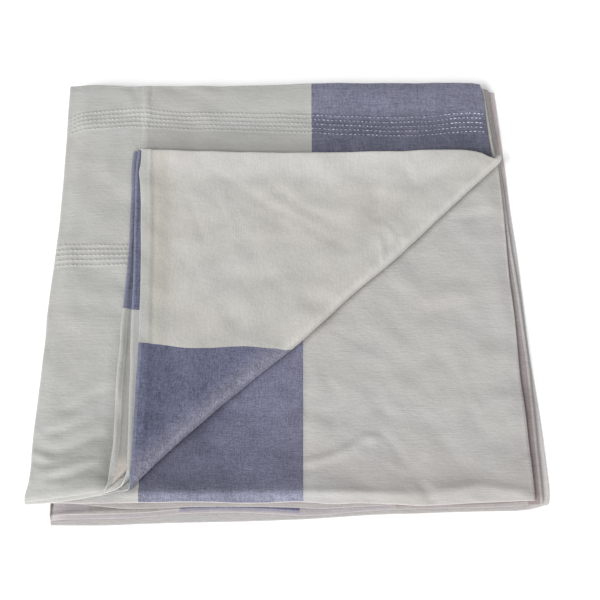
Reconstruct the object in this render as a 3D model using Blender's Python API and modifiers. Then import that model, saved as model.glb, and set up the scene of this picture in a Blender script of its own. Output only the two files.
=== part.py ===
"""Duvet cover folded into a flat square pack with one corner turned back.

The cloth is one sheet folded back and forth from side to side: three plies of
the upper layer, then five plies of the lower layer. The right front corner of
the upper layer is turned over along a diagonal and lies on top of the pack.
The grid of the flat sheet is laid out ply by ply and round its side folds, the
corner is rolled over the diagonal, and the sheet is then given its thickness.
"""

import math
from collections import namedtuple

import bmesh
import bpy
from mathutils import Vector

MM = 0.001

# Cloth, millimetres
CLOTH = 1.5
FOLD_STEPS = 3
FOLD_BULGE = 1.1
FOLD_REACH = FOLD_BULGE + CLOTH / 2

# Diagonal fold of the turned corner, millimetres and degrees
TURN_START = Vector((-164.4, -227.7))
TURN_ANGLE = math.radians(43.5)
TURN_ALONG = Vector((math.cos(TURN_ANGLE), math.sin(TURN_ANGLE)))
TURN_ACROSS = Vector((math.sin(TURN_ANGLE), -math.cos(TURN_ANGLE)))
TURN_LENGTH = 563.0
TURN_AXIS = 20.1
TURN_STEPS = 5
OUTER_LEVEL = 12.8
INNER_LEVEL = 17.2
FLAP_LEVEL = 2.0 * TURN_AXIS - INNER_LEVEL
LEVEL_SLACK = 0.1
TURN_ARC = math.pi * (TURN_AXIS - (OUTER_LEVEL + INNER_LEVEL) / 2.0)

# Fullness of the roll: distance along it and its width there as a share of a round one
TURN_FULLNESS = (
    (0, 1.15), (60, 0.67), (160, 0.84), (235, 1.33), (310, 1.08), (377, 1.3), (450, 1), (554, 0.66),
)

# Innermost ply turns this much earlier than the outermost, at the front and back end
SET_BACK_FRONT = 11.0
SET_BACK_BACK = 1.0
FLAP_DROP = 3.6
FLAP_DROP_LENGTH = 60.0
FLAP_DROP_STEPS = 4

# Upper layer hangs over the lower one on the left, millimetres
OVERHANG_LEFT = -240.0
OVERHANG_SAG = 2.5
OVERHANG_LENGTH = 20.0

# Rows run front to back, as shares of the depth
ROWS = (0.0, 0.04, 0.09, 0.17, 0.26, 0.36, 0.46, 0.56, 0.64, 0.7, 0.745, 0.775, 0.805, 0.835, 0.9, 1.0)
FINE_COLUMNS = (0.0, 0.04, 0.1, 0.16, 0.21, 0.3, 0.4, 0.5, 0.6, 0.7, 0.8, 0.88, 0.95, 1.0)
COARSE_COLUMNS = (0.0, 0.04, 0.14, 0.24, 0.55, 0.9, 1.0)
PLAIN_COLUMNS = (0.0, 0.08, 0.36, 0.64, 0.92, 1.0)

# Plies from the top down, millimetres; tables of the side edges hold (y, x), of the end edges (x, y)
UPPER_LEFT = (
    (-246, -258), (-225, -257), (-180, -258), (-70, -257.3), (-40, -258.5), (60, -256.8), (180, -258.8),
    (262, -262),
)
LOWER_LEFT = ((-262, -236), (262, -236.8))
Ply = namedtuple("Ply", "level left right front back columns")
PLIES = (
    Ply(17.2, UPPER_LEFT,
        ((-266, 226.8), (-190, 228), (-77, 233.9), (36, 244), (81, 248.5), (115, 248), (134, 243),
         (158, 234), (168, 232.5), (246, 231.6), (262, 229)),
        ((-258, -243.8), (-240, -243.2), (-204, -239.2), (-180, -236), (-154, -237.8), (-80, -244.4),
         (24, -249.5), (136, -257.5), (228, -266.5)),
        ((-262, 261), (-215, 260.5), (-191, 258), (-168, 259.5), (-70, 259.5), (0, 262.2),
         (24, 263.6), (192, 263.6), (216, 262.2), (229, 258)),
        FINE_COLUMNS),
    Ply(15.0, UPPER_LEFT,
        ((-266, 234.2), (-195, 235), (-80, 239.9), (33, 249.1), (79, 253.3), (102, 253.6), (134, 246.3),
         (162, 237), (204, 235.7), (262, 233)),
        ((-258, -245.5), (-240, -245), (-204, -240.5), (-180, -236.5), (-146, -228), (-73, -236),
         (29, -246.5), (193, -262.2), (234, -265.5)),
        ((-262, 259), (0, 261), (200, 262), (233, 255)),
        COARSE_COLUMNS),
    Ply(12.8, LOWER_LEFT,
        ((-266, 238.2), (-198, 238.3), (-83, 242.3), (31, 250.4), (77, 254), (100, 254.3), (112, 252.5),
         (134, 247), (162, 237.5), (204, 235.7), (262, 233)),
        ((-236, -241), (-180, -236), (-160, -232), (-139, -230.5), (-88, -234), (35, -243.4),
         (145, -255.2), (196, -262.4), (238, -266)),
        ((-236, 258), (0, 260), (200, 261), (233, 254)),
        FINE_COLUMNS),
    Ply(10.35, LOWER_LEFT,
        ((-240, 243.9), (-147, 243.8), (-57, 243), (-10, 240.8), (40, 240), (145, 242.5), (262, 240.5)),
        ((-236, -244.2), (-165, -243.7), (12, -241.7), (71, -243.7), (135, -246.1), (180, -244.2),
         (244, -241.2)),
        ((-236, 257), (200, 260.5), (240, 259.5)),
        FINE_COLUMNS),
    Ply(7.95, LOWER_LEFT,
        ((-240, 244.1), (-147, 244), (-57, 243.3), (-10, 241.2), (40, 240.3), (145, 242.7), (262, 240.8)),
        ((-236, -247), (-165, -246.3), (12, -244.8), (135, -247.5), (244, -242.5)),
        ((-236, 258), (242, 261)),
        PLAIN_COLUMNS),
    Ply(5.55, LOWER_LEFT,
        ((-240, 248), (-169, 248), (-88, 249.5), (-19, 247.4), (150, 246), (262, 244)),
        ((-236, -252.3), (-195, -251), (-141, -248.6), (12, -247.5), (135, -248.5), (248, -244)),
        ((-236, 259), (242, 261)),
        PLAIN_COLUMNS),
    Ply(3.15, LOWER_LEFT,
        ((-240, 248.2), (-169, 248.2), (-88, 249.7), (-19, 247.6), (150, 246.2), (262, 244.2)),
        ((-236, -258), (-141, -254), (12, -251.5), (135, -249.5), (248, -245)),
        ((-236, 257), (242, 262)),
        PLAIN_COLUMNS),
    Ply(0.75, LOWER_LEFT,
        ((-244, 258.5), (-238, 261), (-206, 261.5), (-137, 259.8), (-83, 256.8), (-19, 256), (40, 255),
         (95, 252.5), (158, 252), (230, 250.5), (262, 247)),
        ((-236, -264), (-180, -263.5), (-136, -261.5), (-20, -259), (22, -257.5), (90, -252.8),
         (142, -251.3), (217, -249.5), (240, -247.5), (258, -244)),
        ((-236, 260), (250, 262)),
        PLAIN_COLUMNS),
)
LOWER_TOP = 10.35
FRONT_LINE = -242.0
BACK_LINE = 262.0

# Soft rises of the visible cloth: centre x and y, half length, half width, direction, height
Swell = namedtuple("Swell", "x y length width angle height")
UPPER_SWELLS = (
    Swell(-222, -190, 60, 16, 52, 1.8),
    Swell(-215, -95, 45, 20, 95, 1.2),
    Swell(-225, 60, 70, 16, 85, 1.4),
    Swell(-205, 205, 40, 18, 20, 1.6),
    Swell(-90, 215, 60, 18, 5, 1.2),
    Swell(110, 215, 80, 20, -4, 1.5),
)
FLAP_SWELLS = (
    Swell(-60, 95, 70, 22, 10, 1.8),
    Swell(70, 70, 60, 24, -40, 1.6),
    Swell(-95, -40, 60, 22, 70, 1.6),
    Swell(-20, -20, 50, 22, 45, 1.3),
)
LOWER_SWELLS = (
    Swell(75, -75, 50, 20, -20, 2.0),
    Swell(180, 30, 50, 18, 60, 1.8),
    Swell(120, -165, 80, 20, 8, 1.8),
    Swell(-20, -205, 70, 16, 5, 1.4),
    Swell(205, -185, 40, 18, 100, 1.6),
)
UNDER_ROLL = 12.0
SWELL_MARGIN = 24.0
FLAP_LEFT = -160.0
FLAP_BACK = 150.0
BARE_LEFT = -184.0
BARE_BACK = 165.0
UPPER_EDGE = -250.0
LOWER_EDGE = 236.0


def smooth(value):
    """Eases from 0 to 1 with level ends."""
    value = min(1.0, max(0.0, value))
    return value * value * (3.0 - 2.0 * value)


def read(table, position):
    """Reads a two-column table at a position, easing from entry to entry."""
    if position <= table[0][0]:
        return table[0][1]
    for (start, before), (stop, after) in zip(table, table[1:]):
        if position <= stop:
            return before + (after - before) * smooth((position - start) / (stop - start))
    return table[-1][1]


def on_ply(ply, fold_left, fold_right, share_x, share_y):
    """Place of one point on a flat ply."""
    y = FRONT_LINE + (BACK_LINE - FRONT_LINE) * share_y
    left = read(ply.left, y) + (FOLD_REACH if fold_left else 0.0)
    right = read(ply.right, y) - (FOLD_REACH if fold_right else 0.0)
    x = left + (right - left) * share_x
    front = read(ply.front, x)
    back = read(ply.back, x)
    return Vector((x, front + (back - front) * share_y, ply.level))


def stations():
    """Every column of the sheet from its top end to its bottom end, as functions of the row."""
    columns = []
    for index, ply in enumerate(PLIES):
        to_left = index % 2 == 0
        last = index == len(PLIES) - 1
        fold_left = not last or not to_left
        fold_right = index > 0 and (not last or to_left)
        ordered = tuple(reversed(ply.columns)) if to_left else ply.columns
        for share in ordered:
            columns.append((ply, fold_left, fold_right, share, None, 0.0, 0.0))
        if last:
            break
        below = PLIES[index + 1]
        side = 0.0 if to_left else 1.0
        for step in range(1, FOLD_STEPS):
            angle = math.pi * step / FOLD_STEPS
            columns.append((ply, fold_left, fold_right, side, below, angle, -1.0 if to_left else 1.0))
    return columns


def place(column, share_y):
    """Place of one grid point of the flat sheet, round the side folds too."""
    ply, fold_left, fold_right, share, below, angle, outward = column
    here = on_ply(ply, fold_left, fold_right, share, share_y)
    if below is None:
        return here
    there = on_ply(below, True, True, share, share_y)
    blend = (1.0 - math.cos(angle)) / 2.0
    point = here.lerp(there, blend)
    point.x += outward * FOLD_BULGE * math.sin(angle)
    return point


def set_back(level, along):
    """How far the fold line of a ply lies behind that of the outermost ply."""
    depth = (level - OUTER_LEVEL) / (INNER_LEVEL - OUTER_LEVEL)
    return -depth * (SET_BACK_FRONT + (SET_BACK_BACK - SET_BACK_FRONT) * along / TURN_LENGTH)


def from_turn(point):
    """Distances of a point beyond and along the diagonal fold's axis."""
    offset = Vector((point.x, point.y)) - TURN_START
    return offset.dot(TURN_ACROSS), offset.dot(TURN_ALONG)


def to_bend(point):
    """Point written as its distance past its own fold line, distance along the fold, and level."""
    across, along = from_turn(point)
    return Vector((across - set_back(point.z, along), along, point.z))


def turn_over(bent):
    """Carries a point of the upper layer round the diagonal fold."""
    past, along, level = bent
    reach = set_back(level, along)
    radius = TURN_AXIS - level
    if past <= 0.0:
        reach += past
    elif past < TURN_ARC:
        angle = math.pi * past / TURN_ARC
        reach += radius * read(TURN_FULLNESS, along) * math.sin(angle)
        level = TURN_AXIS - radius * math.cos(angle)
    else:
        reach -= past - TURN_ARC
        level = TURN_AXIS + radius
    spot = TURN_START + TURN_ALONG * along + TURN_ACROSS * reach
    return Vector((spot.x, spot.y, level))


def swell_height(swells, point):
    """Height of the soft rises at a point."""
    height = 0.0
    for swell in swells:
        angle = math.radians(swell.angle)
        offset = Vector((point.x - swell.x, point.y - swell.y))
        along = offset.dot(Vector((math.cos(angle), math.sin(angle)))) / swell.length
        aside = offset.dot(Vector((-math.sin(angle), math.cos(angle)))) / swell.width
        height += swell.height * math.exp(-along * along - aside * aside)
    return height


def margin(distance):
    """Fades a rise out towards an edge."""
    return smooth(distance / SWELL_MARGIN)


def soften(point, ply_level, turned):
    """Adds the rises to the visible surfaces and the sag to the overhang."""
    across, along = from_turn(point)
    if turned and ply_level < OUTER_LEVEL + LEVEL_SLACK:
        fade = margin(-across - UNDER_ROLL) * margin(point.x - FLAP_LEFT) * margin(FLAP_BACK - point.y)
        point.z += swell_height(FLAP_SWELLS, point) * fade
    elif not turned and ply_level > INNER_LEVEL - LEVEL_SLACK:
        outside = max(margin(BARE_LEFT - point.x), margin(point.y - BARE_BACK))
        point.z += swell_height(UPPER_SWELLS, point) * outside * margin(point.x - UPPER_EDGE)
    elif abs(ply_level - LOWER_TOP) < LEVEL_SLACK:
        fade = margin(across - UNDER_ROLL) * margin(LOWER_EDGE - point.x)
        point.z += swell_height(LOWER_SWELLS, point) * fade
    if ply_level > OUTER_LEVEL and point.x < OVERHANG_LEFT:
        point.z -= OVERHANG_SAG * smooth((OVERHANG_LEFT - point.x) / OVERHANG_LENGTH)


def cut(mesh, above, normal, origin):
    """Cuts the faces above a level along one plane; level and plane point in millimetres."""
    faces = [f for f in mesh.faces if min(v.co.z for v in f.verts) > above * MM]
    edges = {e for f in faces for e in f.edges}
    verts = {v for f in faces for v in f.verts}
    bmesh.ops.bisect_plane(mesh, geom=faces + list(edges) + list(verts), dist=0.0001,
                           plane_co=origin * MM, plane_no=normal)


def fold_corner(mesh):
    """Turns the right front corner of the upper layer over along the diagonal."""
    under = OUTER_LEVEL - LEVEL_SLACK
    for vert in mesh.verts:
        if vert.co.z > under * MM:
            vert.co = to_bend(vert.co / MM) * MM
    for step in range(TURN_STEPS + 1):
        cut(mesh, under, Vector((1.0, 0.0, 0.0)), Vector((TURN_ARC * step / TURN_STEPS, 0.0, 0.0)))
    for vert in mesh.verts:
        if vert.co.z > under * MM:
            vert.co = turn_over(vert.co / MM) * MM
    for step in range(FLAP_DROP_STEPS + 1):
        reach = SET_BACK_FRONT + FLAP_DROP_LENGTH * step / FLAP_DROP_STEPS
        line = TURN_START - TURN_ACROSS * reach
        cut(mesh, FLAP_LEVEL - LEVEL_SLACK, TURN_ACROSS.to_3d(), line.to_3d())


def settle(mesh):
    """Lets the turned corner down on to the pack and softens every visible ply."""
    for vert in mesh.verts:
        point = vert.co / MM
        turned = point.z > FLAP_LEVEL - LEVEL_SLACK
        ply_level = 2.0 * TURN_AXIS - point.z if turned else point.z
        if turned:
            beyond = -SET_BACK_FRONT - from_turn(point)[0]
            point.z -= FLAP_DROP * smooth(beyond / FLAP_DROP_LENGTH)
        soften(point, ply_level, turned)
        vert.co = point * MM


def build_sheet():
    """The flat folded sheet and its diagonal fold, before it is given its thickness."""
    columns = stations()
    mesh = bmesh.new()
    bmesh.ops.create_grid(mesh, x_segments=len(columns) - 1, y_segments=len(ROWS) - 1, size=0.5)
    for vert in mesh.verts:
        column = columns[round((vert.co.x + 0.5) * (len(columns) - 1))]
        row = ROWS[round((vert.co.y + 0.5) * (len(ROWS) - 1))]
        vert.co = place(column, row) * MM
    fold_corner(mesh)
    settle(mesh)
    bmesh.ops.triangulate(mesh, faces=mesh.faces)
    data = bpy.data.meshes.new("duvet_cover")
    mesh.to_mesh(data)
    mesh.free()
    return data


def cotton():
    """Pale washed cotton."""
    material = bpy.data.materials.new("cotton")
    material.use_nodes = True
    shader = material.node_tree.nodes["Principled BSDF"]
    shader.inputs["Base Color"].default_value = (0.56, 0.55, 0.51, 1.0)
    shader.inputs["Roughness"].default_value = 0.92
    return material


for item in list(bpy.data.objects):
    bpy.data.objects.remove(item, do_unlink=True)

cover = bpy.data.objects.new("duvet_cover", build_sheet())
bpy.context.scene.collection.objects.link(cover)
cover.data.materials.append(cotton())
thickness = cover.modifiers.new("cloth", "SOLIDIFY")
thickness.thickness = CLOTH * MM
thickness.offset = 0.0
thickness.use_even_offset = False
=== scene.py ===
"""Duvet cover folded into a flat square pack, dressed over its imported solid.

Each layer is one fine grid, folded back and forth from side to side, turned over the diagonal at
the right front corner, and given its creases, hem, seams, thickness and stitches. Shapes are in
millimetres, looks and room in metres.
"""

import math
import random
from collections import namedtuple

import bmesh
import bpy
import numpy as np
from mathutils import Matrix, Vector
from mathutils.bvhtree import BVHTree


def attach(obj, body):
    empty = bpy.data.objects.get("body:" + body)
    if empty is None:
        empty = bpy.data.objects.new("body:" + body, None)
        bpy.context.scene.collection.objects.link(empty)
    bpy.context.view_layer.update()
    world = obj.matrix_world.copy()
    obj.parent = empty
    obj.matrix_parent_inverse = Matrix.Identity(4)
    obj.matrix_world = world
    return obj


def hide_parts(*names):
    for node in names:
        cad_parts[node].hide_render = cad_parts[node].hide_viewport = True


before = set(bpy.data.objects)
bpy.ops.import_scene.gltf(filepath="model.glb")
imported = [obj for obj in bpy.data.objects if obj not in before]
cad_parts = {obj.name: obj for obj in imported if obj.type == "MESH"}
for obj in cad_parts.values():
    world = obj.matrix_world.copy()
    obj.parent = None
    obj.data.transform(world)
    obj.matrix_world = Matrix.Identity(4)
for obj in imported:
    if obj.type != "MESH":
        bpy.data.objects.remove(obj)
scene = bpy.context.scene
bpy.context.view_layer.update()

MM = 0.001

# Cloth and side folds
CLOTH = 1.5
LEAST_HALF = 0.1
PLY_GAP = 2.3
FOLD_STEPS = 8
FOLD_BULGE = 1.1
FOLD_REACH = FOLD_BULGE + CLOTH / 2.0

# Diagonal fold of the turned corner, with its fullness along the fold
TURN_START = np.array((-164.4, -227.7))
TURN_ANGLE = math.radians(43.5)
TURN_ALONG = np.array((math.cos(TURN_ANGLE), math.sin(TURN_ANGLE)))
TURN_ACROSS = np.array((math.sin(TURN_ANGLE), -math.cos(TURN_ANGLE)))
TURN_LENGTH = 563.0
TURN_AXIS = 20.1
TURN_STEPS = 12
TURN_SNAP = 0.1
TURN_SQUARE = 0.5
TURN_FULL = (
    (0, 1.15), (60, 0.67), (160, 0.84), (235, 1.33), (310, 1.08), (377, 1.3), (450, 1), (554, 0.66),
)
TURNED_ABOVE = TURN_AXIS - 2.0
OUTER_LEVEL = 12.8
INNER_LEVEL = 17.2
FLAP_LEVEL = 2.0 * TURN_AXIS - INNER_LEVEL
LEVEL_SLACK = 0.1
TURN_ARC = math.pi * (TURN_AXIS - (OUTER_LEVEL + INNER_LEVEL) / 2.0)
SET_FRONT = 11.0
SET_BACK = 1.0
FLAP_DROP = 3.6
FLAP_SLOPE = (-SET_FRONT, -60.0)
ROLL_SLOPE = (-18.0, 25.0)
ROLL_SHARE = 0.04

# Left overhang of the upper layer; a slope is given by its start and its length
HANG_SLOPE = (-240.0, -20.0)
HANG_SAG = 2.5
HANG_ABOVE = OUTER_LEVEL - 2.0

# Plain grid of a ply before its edges are drawn in
GRID_LEFT = -240.0
GRID_RIGHT = 240.0
GRID_FRONT = -242.0
GRID_BACK = 262.0
EDGE_REACH = 130.0

# Its rows: close ones at its ends, and even ones in three parts
RIM = (0.0, 0.11, 0.4, 0.75)
FRONT_ROWS = RIM + (1.5, 2.4, 3.4, 4.2, 5.0, 6.5, 8.0, 9.5, 11.0, 12.5, 14.5)
BACK_ROWS = RIM + (2.0, 4.0, 7.0)
EVEN_FROM = GRID_FRONT + 17.0
FRONT_PART = -118.0
BACK_PART = 80.0
EVEN_TO = GRID_BACK - 10.0
FRONT_SHARE = 0.7
BACK_SHARE = 1.5
UPPER_STEP = 5.0
LOWER_STEP = 4.0
BAND_STEPS = 5.0
BAND_CLEAR = 0.5

# Its columns: a step for each ply, closer at the left of the top ply and beside seams
COLUMN_STEPS = (8.5, 16.0, 4.8, 4.2, 14.0, 12.0, 16.0, 14.0)
COLUMN_MARGIN = 1.6
LEFT_STEP = 4.2
FELL_STEP = 1.3
SEAM_CLEAR = 2.0
SEAM_SIDE = 1.2
RIM_COLUMNS = 8

# Plies from the top down: left and right edges as (y, x), front and back edges as (x, y)
UPPER_LEFT = (
    (-246, -259.6), (-236, -260), (-222, -257.6), (-180, -258.4), (-70, -258), (-40, -259), (60, -257.6),
    (150, -259.6), (200, -261.6), (240, -263.4), (262, -264.6),
)
LOWER_LEFT = ((-262, -236), (-120, -235.4), (40, -236.4), (262, -236.8))
Ply = namedtuple("Ply", "level left right front back")
PLIES = (
    Ply(17.2, UPPER_LEFT, (
        (-266, 228.4), (-190, 228.4), (-77, 233.9), (36, 244), (81, 248.5), (115, 248), (134, 243),
        (158, 234.5), (176, 232.2), (220, 231), (246, 230.6), (262, 228.4),
    ), (
        (-258, -243.6), (-242, -242), (-224, -239.4), (-204, -236.6), (-190, -234.4), (-182, -234),
        (-172, -235.6), (-153, -236.8), (-134, -236.8), (-123, -237.5), (-102, -239.9), (-80, -242.2),
        (-46, -245.1), (-18, -246.3), (4, -248.9), (36, -249.6), (66, -251.3), (97, -253.2), (149, -258.6),
        (176, -261.2), (209, -265.4), (228, -266),
    ), (
        (-262, 262), (-215, 261.2), (-191, 259.5), (-168, 260.3), (-70, 260.6), (0, 263), (24, 264.2),
        (120, 264.8), (192, 265.2), (214, 265), (224, 264.4), (229, 262),
    )),
    Ply(15.0, UPPER_LEFT, (
        (-266, 234.2), (-195, 235), (-80, 239.9), (33, 249.1), (79, 253.3), (102, 253.6), (128, 249.4),
        (134, 246.4), (141, 245.6), (147, 252), (150, 254.2), (153, 250), (160, 240.4), (166, 239),
        (204, 236), (262, 233),
    ), (
        (-258, -245.5), (-240, -245), (-204, -240.5), (-180, -235), (-162, -228.4), (-153, -226.4),
        (-137, -227.7), (-105, -231.2), (-73, -235.1), (-40, -238.3), (-11, -242), (23, -245.4), (65, -249),
        (102, -253.4), (153, -259), (179, -261.9), (213, -265.1), (234, -265.2),
    ), ((-262, 260), (0, 261), (200, 262), (233, 256))),
    Ply(12.8, LOWER_LEFT, (
        (-266, 239), (-198, 238.3), (-83, 242.3), (31, 250.4), (77, 254), (100, 254.8), (112, 254.2),
        (122, 252.6), (128, 250.4), (134, 247.2), (140, 245.8), (146, 246), (154, 242), (164, 238.4),
        (204, 235.4), (262, 232.4),
    ), (
        (-236, -241), (-180, -236), (-163, -231.4), (-150, -231), (-130, -231.1), (-88, -234.1), (-50, -237),
        (-6, -239.6), (40, -243.6), (70, -246.5), (107, -250.6), (144, -255.2), (177, -259.4), (196, -262.6),
        (208, -265), (216, -264.4), (238, -265.6),
    ), ((-236, 258), (0, 260), (200, 261), (233, 254))),
    Ply(10.35, LOWER_LEFT, (
        (-240, 246.4), (-147, 245), (-100, 243.4), (-60, 244), (-28, 243.8), (0, 242.8), (40, 243),
        (90, 243.4), (140, 243), (210, 240.4), (262, 237.4),
    ), (
        (-236, -243.4), (-205, -243.9), (-150, -243.5), (-87, -242.8), (-57, -243.7), (-27, -243.9),
        (12, -242.4), (45, -244.5), (71, -243.8), (101, -244.6), (126, -246.2), (150, -245.6), (180, -243.8),
        (210, -242.4), (244, -240.8),
    ), ((-236, 257), (200, 261.4), (234, 261), (242, 257))),
    Ply(7.95, LOWER_LEFT, (
        (-240, 245.8), (-147, 244.4), (-100, 242.8), (-60, 243.4), (0, 242.2), (90, 242.8), (140, 242.4),
        (210, 239.8), (262, 236.8),
    ), (
        (-236, -241.8), (-226, -242.1), (-206, -244), (-186, -246.4), (-161, -248.6), (-136, -248.3),
        (-87, -246.8), (-37, -246.6), (10, -247.6), (32, -248.6), (57, -247.4), (81, -246.2), (108, -244),
        (125, -240), (160, -238), (200, -236), (244, -234),
    ), ((-236, 258), (242, 260))),
    Ply(5.55, LOWER_LEFT, (
        (-240, 254.6), (-169, 254.6), (-100, 254.6), (-66, 253.6), (0, 251.4), (44, 248.8), (95, 246.8),
        (150, 245.4), (262, 240),
    ), (
        (-236, -259.8), (-225, -258.6), (-195, -258), (-166, -257.4), (-136, -255.8), (-112, -253.4),
        (-87, -252), (-37, -251.9), (-13, -253), (12, -254.8), (37, -253.8), (62, -251.4), (92, -249.2),
        (131, -247.8), (171, -247), (211, -246), (248, -243),
    ), ((-236, 259), (0, 261), (190, 262.6), (236, 263), (246, 260))),
    Ply(3.15, LOWER_LEFT, (
        (-240, 254.8), (-169, 254.8), (-100, 254.8), (-66, 253.8), (0, 251.6), (44, 249), (95, 247),
        (150, 245.6), (262, 240.2),
    ), ((-236, -236), (12, -237), (135, -237), (248, -236)),
        ((-236, 257), (0, 260), (190, 262.4), (236, 263), (246, 260))),
    Ply(0.75, LOWER_LEFT, (
        (-246, 254), (-241, 259.5), (-235, 261.4), (-206, 262), (-137, 260), (-83, 257), (-19, 255.8),
        (40, 254.6), (95, 252), (158, 251), (206, 249.4), (240, 248.4), (264, 247.4),
    ), (
        (-236, -264), (-180, -264), (-136, -262.2), (-20, -259.4), (22, -257.6), (90, -253.2), (122, -252.4),
        (160, -251), (200, -250), (228, -249.4), (244, -247.8), (256, -244),
    ), ((-236, 260), (0, 262), (190, 263.4), (238, 264), (250, 261))),
)
UPPER_PLIES = (0, 1, 2)
LOWER_PLIES = (3, 4, 5, 6, 7)
TOP = PLIES[UPPER_PLIES[0]]
LOWER_TOP = PLIES[LOWER_PLIES[0]]

# Seams across a ply, with a table of (y, shift) where one wavers
Seam = namedtuple("Seam", "ply x waver")
FLAP_SEAM = Seam(2, -3.0, (
    (-240, 0), (-224, -0.4), (-194, -3.3), (-164, -2.4), (-130, 0.2), (-112, -0.3), (-99, -0.8), (-90, 1),
    (-84, 3), (-76, 6),
))
STRIP_LOW = Seam(1, 29.5, ())
STRIP_TOP = Seam(0, 25.8, ())
PATCH_LEFT = Seam(3, -149.2, ())
PATCH_RIGHT = Seam(3, 15.3, ())
SEAMS = (FLAP_SEAM, STRIP_LOW, STRIP_TOP, PATCH_LEFT, PATCH_RIGHT)
WAVER_REACH = 40.0

# How far each ply falls at its front edge, and over what width
FRONT_FALL = (1.7, 1.2, 0.7, 1.05, 0.9, 1.2, 0.0, 0.0)
FRONT_WIDTH = (7.0, 7.0, 7.0, 11.0, 6.0, 7.0, 7.0, 7.0)
DROOP_SLOPE = (0.0, 3.0)

# One lower ply falls more in front and stands open at its left end, with a raised rim
CURL_PLY = 5
CURL_DROP = 1.5
CURL_SLOPE = (-234.0, -10.0)
CURL_RIM = (
    (-236, -255.3), (-225, -253.3), (-210, -252.1), (-186, -250.6), (-161, -249.3), (-141, -249),
    (250, -249),
)
CURL_RIM_HALF = 2.0
CURL_LIFT = 0.8
CURL_CLOSE = (-190.0, 70.0)
HOLLOW_DEPTH = 0.3
HOLLOW_SLOPE = (-226.0, -12.0)
HOLLOW_RIM = (0.0, 3.5)

# Falls of the top ply of each layer at an edge: depth and width
EDGE_LEVELS = 1.2
BACK_FALL = 1.3
BACK_WIDTH = 12.0
RIGHT_FALL = 1.2
RIGHT_WIDTH = 16.0

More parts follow.
